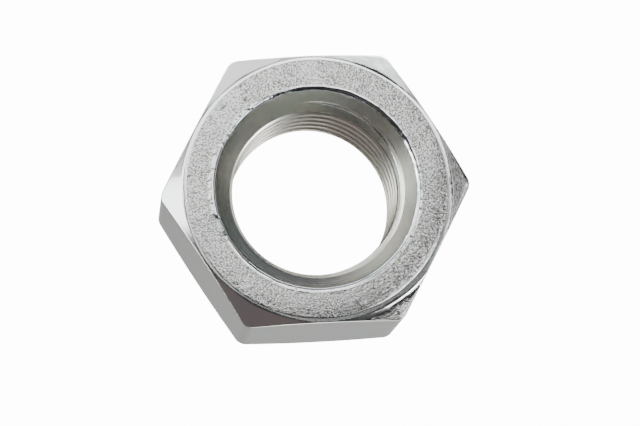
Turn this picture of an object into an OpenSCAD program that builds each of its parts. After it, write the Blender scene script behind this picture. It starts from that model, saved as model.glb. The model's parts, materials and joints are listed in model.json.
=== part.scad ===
// Hexagon nut with a fine right-hand internal thread.
// One forged and tapped piece: a hexagonal body, its corners turned off by a cone at each end,
// a wide countersink at each end of the hole and a real helical thread between them.
// Units are millimetres. The nut stands on its lower bearing face at z = 0, the thread axis is Z,
// and one pair of opposite corners lies along X.

/* [Hexagon] */
// width of the nut measured across two opposite flats
across_flats = 24; // [22:0.5:27]
// height of the nut from one bearing face to the other
nut_height = 13; // [10:0.5:19]
// radius of the rounding along the six upright corner edges
corner_r = 1.1; // [0.2:0.1:2]

/* [Corner chamfers] */
// diameter of the flat ring where the corner chamfer starts, at both ends
face_d = 23.15; // [20:0.05:24]
// slope of the corner chamfer, in degrees below the end face
chamfer_angle = 30; // [15:1:45]

/* [Countersinks] */
// diameter of each countersink where it opens on the end face
sink_d = 18.05; // [17:0.05:20]
// slope of the countersink wall, in degrees from the thread axis
sink_angle = 33; // [30:1:60]

/* [Thread] */
// nominal diameter of the thread, the outside diameter of its bolt
thread_d = 16; // [15.9:0.05:16.2]
// how far the groove's root lies outside the nominal radius
root_clearance = 0.075; // [0:0.025:0.1]
// distance between neighbouring turns of the thread
pitch = 1.5; // [1.25:0.25:2]
// diameter of the hole across the crests of the internal thread
bore_d = 14.65; // [14.38:0.01:14.67]
// direction in which the thread groove starts, in degrees from +X
start_angle = 110; // [0:5:355]
// flat segments used for one turn of the thread groove
turn_segments = 60; // [36:4:72]

/* [Part to build] */
// piece to build on its own

/* [Hidden] */

// facets that draw a true circle
round_fn = 180;
// overlap that carries each cutter clear of the surface it cuts
over = 0.5;
// colour of the zinc plating
zinc = [0.74, 0.76, 0.76];

bore_r = bore_d / 2;
face_r = face_d / 2;
sink_r = sink_d / 2;
// distance from the axis to the centre of a corner rounding
corner_centre_r = (across_flats / 2 - corner_r) / cos(30);
// distance from the axis to the tip of a rounded corner
corner_tip_r = corner_centre_r + corner_r;
// depth of the countersink down to the thread crests
sink_depth = (sink_r - bore_r) / tan(sink_angle);

// Profile of the thread groove: a 60 degree trapezium, one eighth of a pitch wide at the nominal
// diameter and a little narrower at its root.
root_r = thread_d / 2 + root_clearance;
root_half = pitch / 16 - root_clearance * tan(30);
// the groove is carried a little inside the bore, so that it opens cleanly through the crests
// but its turns stay clear of each other
groove_inner_r = bore_r - pitch / 8;
groove_half = root_half + (root_r - groove_inner_r) * tan(30);

// The groove runs out through both countersinks, so the thread starts and ends inside them.
groove_start = sink_depth - pitch;
groove_turns = (nut_height - 2 * groove_start) / pitch;
groove_steps = ceil(groove_turns * turn_segments);

function ring(i) =
    let (a = 360 * i / turn_segments, z = groove_start + pitch * i / turn_segments)
    [
        [groove_inner_r * cos(a), groove_inner_r * sin(a), z - groove_half],
        [root_r * cos(a), root_r * sin(a), z - root_half],
        [root_r * cos(a), root_r * sin(a), z + root_half],
        [groove_inner_r * cos(a), groove_inner_r * sin(a), z + groove_half]
    ];

// Upright prism: the corner roundings, and a twelve-sided core that joins them along the flats.
module hexagon_prism() {
    core = [
        for (k = [0 : 5])
            for (side = [-30, 30])
                [
                    corner_centre_r * cos(60 * k) + corner_r * cos(60 * k + side),
                    corner_centre_r * sin(60 * k) + corner_r * sin(60 * k + side)
                ]
    ];
    linear_extrude(height = nut_height)
        union() {
            polygon(core);
            for (k = [0 : 5])
                rotate([0, 0, 60 * k])
                    translate([corner_centre_r, 0])
                        circle(r = corner_r, $fn = round_fn);
        }
}

// Solid of revolution that trims all six corners at both ends.
module corner_trim() {
    rotate_extrude($fn = round_fn)
        polygon([
            [0, 0],
            [face_r, 0],
            [corner_tip_r + over, (corner_tip_r + over - face_r) * tan(chamfer_angle)],
            [corner_tip_r + over, nut_height - (corner_tip_r + over - face_r) * tan(chamfer_angle)],
            [face_r, nut_height],
            [0, nut_height]
        ]);
}

// The plain hole at the thread's crest diameter, with a countersink at each end.
module hole() {
    rotate_extrude($fn = round_fn)
        polygon([
            [0, -over],
            [sink_r + over * tan(sink_angle), -over],
            [bore_r, sink_depth],
            [bore_r, nut_height - sink_depth],
            [sink_r + over * tan(sink_angle), nut_height + over],
            [0, nut_height + over]
        ]);
}

// The helical groove, swept as one closed ribbon from below the lower sink to above the upper one.
module thread_groove() {
    points = [for (i = [0 : groove_steps]) each ring(i)];
    sides = [
        for (i = [0 : groove_steps - 1])
            for (k = [0 : 3])
                [4 * i + k, 4 * i + (k + 1) % 4, 4 * (i + 1) + (k + 1) % 4, 4 * (i + 1) + k]
    ];
    last = 4 * groove_steps;
    ends = [[3, 2, 1, 0], [last, last + 1, last + 2, last + 3]];
    rotate([0, 0, start_angle])
        polyhedron(points = points, faces = concat(sides, ends), convexity = 20);
}

module nut_body() {
    color(zinc)
        difference() {
            intersection() {
                hexagon_prism();
                corner_trim();
            }
            hole();
            thread_groove();
        }
}

nut_body();
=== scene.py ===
"""Looks of the hexagon nut: one finely meshed zinc-plated body on a pale floor, seen from above.

Lengths of the nut are millimetres in the CAD frame, and become metres as the mesh is made. The
studio's lengths are metres. Angles round the axis are measured from +X.
"""

import json
import math

import bmesh
import bpy
import numpy as np
from mathutils import Matrix, Vector

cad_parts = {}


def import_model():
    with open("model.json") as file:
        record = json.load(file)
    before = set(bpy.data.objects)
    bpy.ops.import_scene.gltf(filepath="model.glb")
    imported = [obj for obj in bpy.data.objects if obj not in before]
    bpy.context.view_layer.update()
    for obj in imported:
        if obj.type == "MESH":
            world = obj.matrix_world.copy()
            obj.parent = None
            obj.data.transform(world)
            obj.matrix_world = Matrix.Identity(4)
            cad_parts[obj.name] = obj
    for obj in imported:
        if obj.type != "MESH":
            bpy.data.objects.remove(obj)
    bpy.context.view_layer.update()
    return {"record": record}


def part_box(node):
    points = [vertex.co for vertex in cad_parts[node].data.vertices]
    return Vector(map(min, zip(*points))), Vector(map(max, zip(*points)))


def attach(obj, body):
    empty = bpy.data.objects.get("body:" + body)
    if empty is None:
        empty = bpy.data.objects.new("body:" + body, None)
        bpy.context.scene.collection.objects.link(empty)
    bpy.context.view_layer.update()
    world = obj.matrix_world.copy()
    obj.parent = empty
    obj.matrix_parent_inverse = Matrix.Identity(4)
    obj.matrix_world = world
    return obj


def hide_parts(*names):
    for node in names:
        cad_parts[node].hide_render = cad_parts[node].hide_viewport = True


MM = 0.001

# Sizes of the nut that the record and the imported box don't hold.
FACE_R = 11.575  # start of the corner chamfer on the end face
CHAMFER = math.tan(math.radians(30))  # its slope
CORNER_R = 1.1  # rounding of the upright corner edges
SINK_R = 9.025  # mouth of the countersink
SINK = math.tan(math.radians(33))  # its wall, from the axis
ROOT_R = 8.075  # roots of the thread
ROOT_HALF = 0.05  # half the width of the flat at a root
PITCH = 1.5
START = math.radians(110)  # direction in which its groove starts

# Mesh density.
COLUMNS = 900  # points in every row round the axis
RING_ROWS = 34
CHAMFER_ROWS = 12
HALF_SIDE_ROWS = 15
LEVEL_ROWS = 6  # level rows at each mouth of the hole, outside the helical ones
FLANK_ROWS = 5
RIM = 0.30  # height that the level rows take up

# Zones of the outer surface.
RING, CHAMFERED, SIDE = 0, 1, 2

# Wear of the surface.
WORN = 0.10  # mean depth of the forged face below the end plane
GRAIN = 0.009  # height of its fine relief
WAVES = 0.010  # height of its middle relief
SWELL = 0.018  # height of its broad relief
FLAT_WEAR = 0.010  # mean depth and unevenness of the flats inside the true hexagon
EDGE_SOFT = 0.03  # rounding of the thread's edges, along the axis
CORNER_SOFT = 0.07  # rounding of the edge between a chamfer and a flat
RING_SOFT = 0.06  # rounding of the ring's outer edge, inward from the chamfer's start
KNOCKS = 26  # small dents on each end face
BURR_HEIGHT = 0.20  # greatest height of the ragged lip round the countersink's mouth
BURR_WIDTH = 0.46  # its width
BURR_SIDE = 152  # direction in which it is strongest, in degrees
BURR_SPREAD = 62  # how far round it stays strong, in degrees
ROLL = 0.045  # how far the ring's outer edge falls away everywhere
MORE_ROLL = 0.165  # how much further it falls on its worn side
WORN_SIDE = -36  # direction of that side, in degrees
WORN_SPREAD = 50  # how far round it reaches, in degrees

# Edges that turn by more than this are shaded sharp.
SHARP = math.radians(70)


def hash_lattice(ix, iy, iz, seed):
    """A repeatable pseudo-random number from 0 to 1 for each lattice point."""
    h = (ix * 374761393 + iy * 668265263 + iz * 2147483647 + seed * 974634777) & 0xFFFFFFFF
    h = ((h ^ (h >> 13)) * 1274126177) & 0xFFFFFFFF
    h = ((h ^ (h >> 16)) * 2246822519) & 0xFFFFFFFF
    return ((h ^ (h >> 15)) & 0xFFFFFF) / float(0xFFFFFF)


def noise(p, size, seed):
    """Smooth noise from -1 to 1 at the points p, with lumps about size across."""
    q = p / size
    base = np.floor(q).astype(np.int64)
    f = q - base
    f = f * f * (3 - 2 * f)
    total = 0
    for dx in (0, 1):
        for dy in (0, 1):
            for dz in (0, 1):
                corner = hash_lattice(
                    base[..., 0] + dx, base[..., 1] + dy, base[..., 2] + dz, seed
                )
                wx = f[..., 0] if dx else 1 - f[..., 0]
                wy = f[..., 1] if dy else 1 - f[..., 1]
                wz = f[..., 2] if dz else 1 - f[..., 2]
                total = total + corner * wx * wy * wz
    return 2 * total - 1


def layered(p, size, seed, octaves=3):
    """Noise with finer and weaker layers added. Every use has a size and a seed of its own."""
    out, weight, total = 0, 1.0, 0.0
    for i in range(octaves):
        out = out + weight * noise(p, size / 2**i, seed + 17 * i)
        total += weight
        weight *= 0.55
    return out / total


def smooth(a, b, x):
    """0 below a, 1 above b, and smooth between."""
    t = np.clip((x - a) / (b - a), 0, 1)
    return t * t * (3 - 2 * t)


def hexagon_reach(angle, half_width):
    """Distance from the axis to the rounded hexagon's side at each angle."""
    a = np.abs((angle + math.pi / 6) % (math.pi / 3) - math.pi / 6)
    centre = (half_width - CORNER_R) / math.cos(math.pi / 6)
    tangent = math.atan2(CORNER_R * 0.5, centre + CORNER_R * math.cos(math.pi / 6))
    flat = half_width / np.cos(math.pi / 6 - a)
    inside = np.maximum(CORNER_R**2 - (centre * np.sin(a)) ** 2, 0)
    return np.where(a < tangent, centre * np.cos(a) + np.sqrt(inside), flat)


def thread_radius(dz, crest_r):
    """Wall radius at dz above the middle of the groove, its corners slightly worn."""
    out = 0
    shifts = np.linspace(-EDGE_SOFT, EDGE_SOFT, 5)
    for shift in shifts:
        d = np.abs((dz + shift + PITCH / 2) % PITCH - PITCH / 2)
        r = ROOT_R - np.maximum(d - ROOT_HALF, 0) / math.tan(math.pi / 6)
        out = out + np.maximum(r, crest_r)
    return out / len(shifts)


def thread_rows(crest_r):
    """Heights of the mesh rows in one turn, measured from the middle of the groove."""
    edge = ROOT_HALF + (ROOT_R - crest_r) * math.tan(math.pi / 6)
    side = [0.0, ROOT_HALF - EDGE_SOFT, ROOT_HALF + EDGE_SOFT]
    side += [ROOT_HALF + (edge - ROOT_HALF) * k / FLANK_ROWS for k in range(1, FLANK_ROWS)]
    side += [edge - EDGE_SOFT, edge, edge + EDGE_SOFT]
    mirrored = [-s for s in side[1:]]
    return sorted(mirrored + side) + [PITCH / 2]


def hole_rows(angle, height, crest_r):
    """Heights of the hole's rows, and their distance above the groove's middle: rows along the
    helix, clipped level near both ends, then the level rows of the two mouths."""
    depth = (SINK_R - crest_r) / SINK
    start = depth - PITCH
    rows = []
    turns = int(height / PITCH) + 2
    for k in range(-2, turns):
        for dz in thread_rows(crest_r):
            rows.append(start + k * PITCH + dz)
    rise = PITCH * (angle[None, :] - START) / (2 * math.pi)
    z = np.clip(np.array(rows)[:, None] + rise, RIM, height - RIM)
    level = np.linspace(0, RIM, LEVEL_ROWS + 1)[:-1]
    low = np.repeat(level[:, None], len(angle), 1)
    high = np.repeat((height - level[::-1])[:, None], len(angle), 1)
    z = np.concatenate([low, z, high])
    return z, z - start - rise


def wall_radius(z, dz, angle, height, crest_r):
    """Radius of the hole's wall, the larger of the thread and the two countersinks, and how far
    each point lies on a countersink. The mouths are ragged and their lips are rounded off."""
    x = np.cos(angle)[None, :] * SINK_R + 0 * z
    y = np.sin(angle)[None, :] * SINK_R + 0 * z
    p = np.stack([x, y, z], -1)
    uneven_crest = crest_r + 0.012 * noise(p, 2.5, 3)
    thread = thread_radius(dz, uneven_crest)
    near = np.minimum(z, height - z)
    level = p * [1, 1, 0.0]
    ragged = 0.06 * layered(level, 0.8, 21) + 0.04 * noise(level, 4.0, 22)
    lathe = 0.003 * noise(np.stack([0 * z, 0 * z, z], -1), 0.16, 5)
    cone = SINK_R - near * SINK + ragged * np.exp(-near / 0.25) + lathe
    lip, flare = 0.12, 0.10
    cone = cone + flare * np.clip(1 - near / lip, 0, 1) ** 2
    on_cone = smooth(-0.02, 0.02, cone - thread)
    return np.maximum(thread, cone), on_cone


def outer_rows(angle, height, mouth, half_width):
    """Radius, drop from the end plane and zone of the outer rows, from the countersink's mouth
    over the ring and the chamfer to the middle of the side."""
    reach = hexagon_reach(angle, half_width)
    r, drop, zone = [], [], []
    for k in range(1, RING_ROWS + 1):
        t = k / RING_ROWS
        r.append(mouth + (FACE_R - RING_SOFT - mouth) * t)
        drop.append(0 * angle)
        zone.append(RING)
    curve_width, curve_drop = 0.16, 0.06 * CHAMFER
    for t in (0.35, 0.7, 1.0):
        r.append(0 * angle + FACE_R - RING_SOFT + curve_width * t)
        drop.append(0 * angle + curve_drop * t * t)
        zone.append(CHAMFERED)
    begin = r[-1]
    for k in range(1, CHAMFER_ROWS + 1):
        t = k / CHAMFER_ROWS
        rr = begin + (reach - CORNER_SOFT - begin) * t
        r.append(rr)
        drop.append(np.maximum((rr - FACE_R) * CHAMFER, drop[-1]))
        zone.append(CHAMFERED)
    top = drop[-1]
    fall = 1.6 * CORNER_SOFT
    for t in (0.3, 0.6, 1.0):
        turn = t * math.pi / 2
        out = CORNER_SOFT * math.sin(turn)
        r.append(reach - CORNER_SOFT + out)
        drop.append(top + fall * (1 - math.cos(turn)) + CHAMFER * out)
        zone.append(SIDE)
    corner = drop[-1]
    for k in range(1, HALF_SIDE_ROWS + 1):
        r.append(reach + 0 * corner)
        drop.append(corner + (height / 2 - corner) * k / HALF_SIDE_ROWS)
        zone.append(SIDE)
    return np.array(r), np.array(drop), np.array(zone)


def face_relief(x, y, top):
    """Depth of the forged face below its plane, made of grain, waves and swell, and how calm
    each place is. The calm patches have less grain and lie mostly round 165 degrees."""
    seed = 40 if top else 60
    p = np.stack([x, y, 0 * x], -1)
    angle = np.arctan2(y, x)
    grain = layered(p, 0.26, seed, 2)
    waves = layered(p, 1.5, seed + 1, 2)
    swell = noise(p, 5.0, seed + 4)
    calm = smooth(0.1, 0.6, noise(p, 2.6, seed + 2) + 0.5 * nearness(angle, 165, 50))
    depth = WORN + GRAIN * grain * (1 - 0.6 * calm) + WAVES * waves + SWELL * swell
    return depth, calm


def roll_off(angle, r, mouth):
    """How far the worn outer part of an end face falls away, most on its worn side."""
    outer = np.clip((r - mouth) / (FACE_R - mouth), 0, 1)
    beyond = np.maximum(r - FACE_R, 0) * 0.8 / (FACE_R - mouth)
    fall = ROLL + MORE_ROLL * nearness(angle, WORN_SIDE, WORN_SPREAD)
    return fall * (outer**3 + beyond)


def burr(angle, r, mouth, top):
    """Height of the ragged burr raised round the countersink's mouth, most on BURR_SIDE."""
    p = np.stack([np.cos(angle) * SINK_R, np.sin(angle) * SINK_R, 0 * angle + (5 if top else 9)], -1)
    ragged = np.clip(0.72 + 0.95 * layered(p, 0.6, 71, 3), 0.2, 1.3)
    side = nearness(angle, BURR_SIDE, BURR_SPREAD) + 0.12 * noise(p, 1.2, 72)
    most = 0.15 + 0.85 * smooth(0.35, 0.75, side)
    span = BURR_WIDTH * ragged
    climb = np.clip(1 - (r - mouth - 0.02) / span, 0, 1)
    return BURR_HEIGHT * ragged * most * climb


def dents(x, y, count, seed):
    """Small knocks scattered over a face: shallow ovals that lie at any angle."""
    pick = np.random.default_rng(seed)
    depth = 0 * x
    for _ in range(count):
        place = pick.uniform(0, 2 * math.pi)
        radius = pick.uniform(SINK_R + 0.3, FACE_R - 0.2)
        length, width = pick.uniform(0.10, 0.34), pick.uniform(0.05, 0.11)
        lie, deep = pick.uniform(0, math.pi), pick.uniform(0.02, 0.05)
        u, v = x - radius * math.cos(place), y - radius * math.sin(place)
        along = u * math.cos(lie) + v * math.sin(lie)
        across = v * math.cos(lie) - u * math.sin(lie)
        depth = depth + deep * np.exp(-((along / length) ** 2) - (across / width) ** 2)
    return depth


def nearness(angle, centre, width):
    """1 at the centre angle, fading to 0 about width away, both in degrees."""
    away = np.abs((angle - math.radians(centre) + math.pi) % (2 * math.pi) - math.pi)
    return np.exp(-((away / math.radians(width)) ** 2))


def chamfer_grain(angle, beyond):
    """How much forged skin is left on the corner chamfers beyond a turned band. Only the corners
    at 0 and -60 degrees have it."""
    right = nearness(angle, 2, 26) * smooth(0.22, 0.45, beyond)
    lower = nearness(angle, -60, 24) * smooth(0.75, 1.05, beyond)
    return 0.95 * np.maximum(right, lower)


def rim_drop(angle, mouth, top):
    """Depth of the countersink's mouth below the end plane, less where the burr stands."""
    return np.maximum(WORN - burr(angle, mouth, mouth, top), 0)


def hole_band(angle, height, crest_r):
    """The hole's wall from the lower mouth to the upper one, and the radii of the two mouths."""
    z, dz = hole_rows(angle, height, crest_r)
    r, on_cone = wall_radius(z, dz, angle, height, crest_r)
    z = z - rim_drop(angle, r[-1], True) * np.clip(1 - (height - z) / RIM, 0, 1)
    z = z + rim_drop(angle, r[0], False) * np.clip(1 - z / RIM, 0, 1)
    none = 0 * r
    band = (r * np.cos(angle), r * np.sin(angle), z, none, on_cone, 1 - on_cone, none)
    return band, r[0], r[-1]


def outer_band(angle, mouth, height, half_width, top):
    """One end of the nut, from the countersink's mouth to the middle of the side."""
    rr, drop, zone = outer_rows(angle, height, mouth, half_width)
    zone = np.repeat(zone[:, None], COLUMNS, 1)
    on_ring, on_chamfer, on_side = zone == RING, zone == CHAMFERED, zone == SIDE
    px, py = rr * np.cos(angle), rr * np.sin(angle)
    p = np.stack([px, py, drop + (100 if top else 0)], -1)

    # The ring: forged relief and knocks, which fade out towards the burr.
    flat = smooth(0, 0.16, rr - mouth)
    relief, calm = face_relief(px, py, top)
    relief = relief + dents(px, py, KNOCKS, 5 if top else 6)

    # The chamfers: turned smooth, with deeper forged skin on two corners.
    bite = rr - FACE_R + 0.15 * layered(p * [1, 1, 0.0], 0.7, 34)
    skin = chamfer_grain(angle, bite) * on_chamfer
    turned = 0.012 + 0.010 * layered(p, 1.6, 81) + 0.012 * skin * layered(p, 0.25, 83)
    turned = turned + 0.18 * skin * np.clip(bite - 0.25, 0, 2)
    drop = drop + np.where(on_ring, flat * relief, np.where(on_chamfer, turned, 0.0))

    # The ring's worn outer edge falls away, and cuts into the chamfers.
    roll = roll_off(angle + 0 * rr, rr, mouth)
    cut = np.where(on_chamfer, np.maximum(drop, WORN + roll), drop)
    drop = np.where(on_ring, drop + roll, cut)

    # The flats: slightly uneven, inside the true hexagon.
    side = np.stack([px, py, height - drop if top else drop], -1)
    inset = np.where(on_side, FLAT_WEAR * (1 + layered(side, 2.2, 90)), 0)
    px, py = px - inset * np.cos(angle), py - inset * np.sin(angle)

    # The burr stands above the ring, but never above the end plane.
    lip = burr(angle + 0 * rr, rr, mouth, top)
    drop = np.maximum(drop + np.where(on_ring, WORN * (1 - flat) - lip, 0), 0)

    forged = np.where(on_ring, smooth(0.10, 0.24, rr - mouth) * (1 - 0.15 * calm), skin)
    none = 0 * rr
    return px, py, height - drop if top else drop, forged, none, none, 1.0 * on_side


def nut_grid(height, half_width, crest_r):
    """The whole surface as rows of points, from the middle of the side, over the lower face,
    up through the hole and over the upper face back to the side. Each point also holds how far
    it is forged, turned, threaded and part of an upright side."""
    angle = np.arange(COLUMNS) * 2 * math.pi / COLUMNS
    hole, low_mouth, high_mouth = hole_band(angle, height, crest_r)
    upper = outer_band(angle, high_mouth, height, half_width, True)
    lower = outer_band(angle, low_mouth, height, half_width, False)
    flip = [part[::-1] for part in lower]
    return [np.concatenate(band) for band in zip(flip, hole, upper)], len(lower[0]), len(hole[0])


def make_mesh(name, grid, below, inside, per_turn):
    """Joins the grid into one closed skin. The helical rows meet themselves one turn higher."""
    x, y, z = grid[:3]
    rows, cols = x.shape
    index = np.arange(rows * cols).reshape(rows, cols)
    a, b = index[:-1, :-1], index[:-1, 1:]
    c, d = index[1:, 1:], index[1:, :-1]
    faces = np.stack([a, b, c, d], -1).reshape(-1, 4)
    first = below + LEVEL_ROWS
    last = below + inside - LEVEL_ROWS
    seam = []
    for i in range(rows - 1):
        if first <= i < last - 1:
            j = min(i + per_turn, last - 1)
            k = min(i + 1 + per_turn, last - 1)
            seam.append([index[i, -1], index[j, 0], index[k, 0], index[i + 1, -1]])
        else:
            seam.append([index[i, -1], index[i, 0], index[i + 1, 0], index[i + 1, -1]])
    faces = np.concatenate([faces, np.array(seam)])
    points = np.stack([x, y, z], -1).reshape(-1, 3) * MM
    mesh = bpy.data.meshes.new(name)
    mesh.from_pydata(points.tolist(), [], faces.tolist())
    for label, values in zip(("forged", "turned", "threaded", "upright"), grid[3:]):
        layer = mesh.attributes.new(label, "FLOAT", "POINT")
        layer.data.foreach_set("value", values.reshape(-1).astype(np.float32))
    return mesh


def clean(mesh):
    """Merges the clipped rows, drops empty faces and marks the real edges sharp."""
    bm = bmesh.new()
    bm.from_mesh(mesh)
    bmesh.ops.remove_doubles(bm, verts=bm.verts, dist=1e-8)
    bmesh.ops.dissolve_degenerate(bm, edges=bm.edges, dist=1e-8)
    bmesh.ops.recalc_face_normals(bm, faces=bm.faces)
    for face in bm.faces:
        face.smooth = True
    for edge in bm.edges:
        if len(edge.link_faces) == 2:
            edge.smooth = edge.calc_face_angle(0) < SHARP
    bm.to_mesh(mesh)
    bm.free()


def node(tree, kind, **values):
    """Adds a shader node and sets its sockets and settings."""
    n = tree.nodes.new(kind)
    for key, value in values.items():
        if key in n.inputs:
            n.inputs[key].default_value = value
        else:
            setattr(n, key, value)
    return n


def zinc_material():
    """Bright zinc plating: rough on the forged faces, smoother where the metal was turned."""
    m = bpy.data.materials.new("zinc_plate")
    m.use_nodes = True
    t = m.node_tree
    bsdf = t.nodes["Principled BSDF"]
    bsdf.inputs["Metallic"].default_value = 1.0
    link = t.links.new
    place = node(t, "ShaderNodeTexCoord").outputs["Object"]

    def texture(scale, detail=3.0, roughness=0.55):
        n = node(t, "ShaderNodeTexNoise", Scale=scale, Detail=detail, Roughness=roughness)
        link(place, n.inputs["Vector"])
        return n.outputs["Fac"]

    def mapped(value, low, high):
        n = node(t, "ShaderNodeMapRange")
        link(value, n.inputs["Value"])
        n.inputs["From Min"].default_value = low
        n.inputs["From Max"].default_value = high
        return n.outputs["Result"]

    def maths(kind, a, b):
        n = node(t, "ShaderNodeMath", operation=kind)
        for i, v in enumerate((a, b)):
            if isinstance(v, (int, float)):
                n.inputs[i].default_value = v
            else:
                link(v, n.inputs[i])
        return n.outputs[0]

    def part(name):
        return node(t, "ShaderNodeAttribute", attribute_name=name).outputs["Fac"]

    def blend(fac, a, b):
        n = node(t, "ShaderNodeMix", data_type="RGBA")
        link(fac, n.inputs["Factor"])
        for i, v in ((6, a), (7, b)):
            if isinstance(v, tuple):
                n.inputs[i].default_value = v
            else:
                link(v, n.inputs[i])
        return n.outputs[2]

    forged, turned = part("forged"), part("turned")
    threaded, upright = part("threaded"), part("upright")
    # Colour: near-white zinc with a faint film and yellower in the thread, with painted shade: dark
    # in the pits of the grain, where the bump is lowest, and darker on the turned countersinks, in
    # their recess.
    film = mapped(texture(230.0), 0.38, 0.62)
    grain = texture(8200.0, 3.0, 0.6)
    pits = mapped(grain, 0.37, 0.54)
    bright = blend(film, (0.82, 0.83, 0.82, 1), (0.76, 0.80, 0.80, 1))
    # Painted shade: the forged faces are coloured dark where the bump grain is lowest, standing in
    # for the shade in its pits.
    pit_shaded = blend(pits, (0.22, 0.23, 0.22, 1), (0.98, 0.98, 0.96, 1))
    # Painted shade: the countersinks get a darker base colour that stands in for the shade in their
    # recess.
    sink_shade = blend(film, (0.55, 0.55, 0.58, 1), (0.49, 0.56, 0.57, 1))
    tapped = (0.80, 0.78, 0.70, 1)
    flats = blend(film, (0.78, 0.76, 0.73, 1), (0.72, 0.78, 0.75, 1))
    colour = blend(forged, bright, pit_shaded)
    colour = blend(turned, colour, sink_shade)
    colour = blend(threaded, colour, tapped)
    colour = blend(upright, colour, flats)
    link(colour, bsdf.inputs["Base Color"])
    # Roughness: turned metal is the smoothest, the flats and the thread scatter most.
    rough = 0.18
    for kind, more in ((forged, 0.04), (upright, 0.14), (threaded, 0.11)):
        rough = maths("ADD", rough, maths("MULTIPLY", kind, more))
    link(rough, bsdf.inputs["Roughness"])
    # Bump: peened grain on the forged faces, hardly any elsewhere.
    depth = maths("ADD", forged, 0.003)
    bump = node(t, "ShaderNodeBump", Strength=1.0, Distance=0.000035)
    link(maths("MULTIPLY", grain, depth), bump.inputs["Height"])
    link(bump.outputs["Normal"], bsdf.inputs["Normal"])
    return m


def card(name, azimuth, elevation, width, height, glow, tint=(1, 1, 1), distance=0.5):
    """A black card that faces the nut with a soft glow of its own, bright or faint."""
    az, el = math.radians(azimuth), math.radians(elevation)
    place = Vector((math.cos(el) * math.cos(az), math.cos(el) * math.sin(az), math.sin(el)))
    bpy.ops.mesh.primitive_plane_add(size=1)
    o = bpy.context.object
    o.name = name
    turn = (-place).to_track_quat("Z", "Y").to_matrix().to_4x4()
    size = Matrix.Diagonal((width, height, 1, 1))
    o.matrix_world = Matrix.Translation(place * distance) @ turn @ size
    m = bpy.data.materials.new(name)
    m.use_nodes = True
    bsdf = m.node_tree.nodes["Principled BSDF"]
    bsdf.inputs["Base Color"].default_value = (0, 0, 0, 1)
    bsdf.inputs["Roughness"].default_value = 1.0
    bsdf.inputs["Specular IOR Level"].default_value = 0.0
    bsdf.inputs["Emission Color"].default_value = (*tint, 1)
    bsdf.inputs["Emission Strength"].default_value = glow
    o.data.materials.append(m)
    return o


def studio():
    """Pale floor and backdrop, which the metal doesn't mirror, and the cards that it does."""
    world = bpy.data.worlds.new("studio")
    world.use_nodes = True
    world.node_tree.nodes["Background"].inputs["Color"].default_value = (1, 1, 1, 1)
    world.node_tree.nodes["Background"].inputs["Strength"].default_value = 6.0
    world.cycles_visibility.glossy = False
    bpy.context.scene.world = world
    floor = card("floor", 0, -90, 1.6, 1.6, 14.0, distance=0.0003)
    floor.visible_glossy = False
    floor.visible_shadow = False
    card("light_above", 74, 73, 0.20, 0.125, 3.9)
    card("fill_top", 0, 90, 2.0, 2.0, 0.04, distance=0.55)
    card("fill_above", 105, 58, 0.36, 0.14, 1.5)
    card("light_rim", 144, 48, 0.20, 0.28, 5.0)
    card("light_right", -30, 41, 0.21, 0.16, 11.6)
    card("light_left", 172, 36, 0.18, 0.20, 5.0)
    card("light_left_low", 180, 5, 0.265, 0.16, 20.0)
    card("light_back_left", 135, 5, 0.50, 0.16, 9.7)
    card("light_back", 75, 5, 0.50, 0.16, 6.7)
    card("fill_back", 110, 22, 0.27, 0.16, 1.6)
    card("fill_right", 15, 23, 0.50, 0.16, 1.5)
    card("flag_front", -120, 36, 0.36, 0.40, 0.15, (1.0, 0.80, 0.80))
    card("low_left", -168, -13, 0.30, 0.155, 9.0)
    card("low_front", -80, -13, 0.50, 0.155, 6.0)
    card("low_back", 100, -13, 0.172, 0.155, 0.36)
    card("below_right", -30, -31, 0.235, 0.18, 10.9)
    card("below_front", -75, -31, 0.46, 0.18, 3.7)
    card("fill_below", 0, -90, 2.4, 2.4, 0.14, distance=0.55)
    card("under", 0, -90, 0.34, 0.34, 0.5)


def camera():
    """Looks down on the upper face at the photograph's viewing angle, rolled as it is there."""
    data = bpy.data.cameras.new("camera")
    o = bpy.data.objects.new("camera", data)
    bpy.context.scene.collection.objects.link(o)
    azimuth, elevation, roll = math.radians(-118.62), math.radians(77.87), math.radians(25.5)
    distance = 210.06 * MM
    aim = Vector((0.065, -2.308, 13.0)) * MM
    back = Vector(
        (
            math.cos(elevation) * math.cos(azimuth),
            math.cos(elevation) * math.sin(azimuth),
            math.sin(elevation),
        )
    )
    turn = back.to_track_quat("Z", "Y").to_matrix() @ Matrix.Rotation(roll, 3, "Z")
    o.matrix_world = Matrix.Translation(aim + back * distance) @ turn.to_4x4()
    data.sensor_width = 36
    data.lens = 135.0
    data.clip_start = 0.001
    data.clip_end = 10
    data.dof.use_dof = False
    bpy.context.scene.camera = o


def build():
    """Lays the visual nut over the CAD node and lights it."""
    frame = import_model()
    low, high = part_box("nut_body")
    height = (high.z - low.z) / MM
    half_width = (high.y - low.y) / 2 / MM
    thread = [m for m in frame["record"]["mounts"] if m["name"] == "thread"][0]
    crest_r = thread["dims"]["r_mm"]
    grid, below, inside = nut_grid(height, half_width, crest_r)
    mesh = make_mesh("nut", grid, below, inside, len(thread_rows(crest_r)))
    clean(mesh)
    mesh.materials.append(zinc_material())
    nut = bpy.data.objects.new("nut", mesh)
    bpy.context.scene.collection.objects.link(nut)
    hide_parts("nut_body")
    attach(nut, "root")
    studio()
    camera()
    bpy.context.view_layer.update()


build()
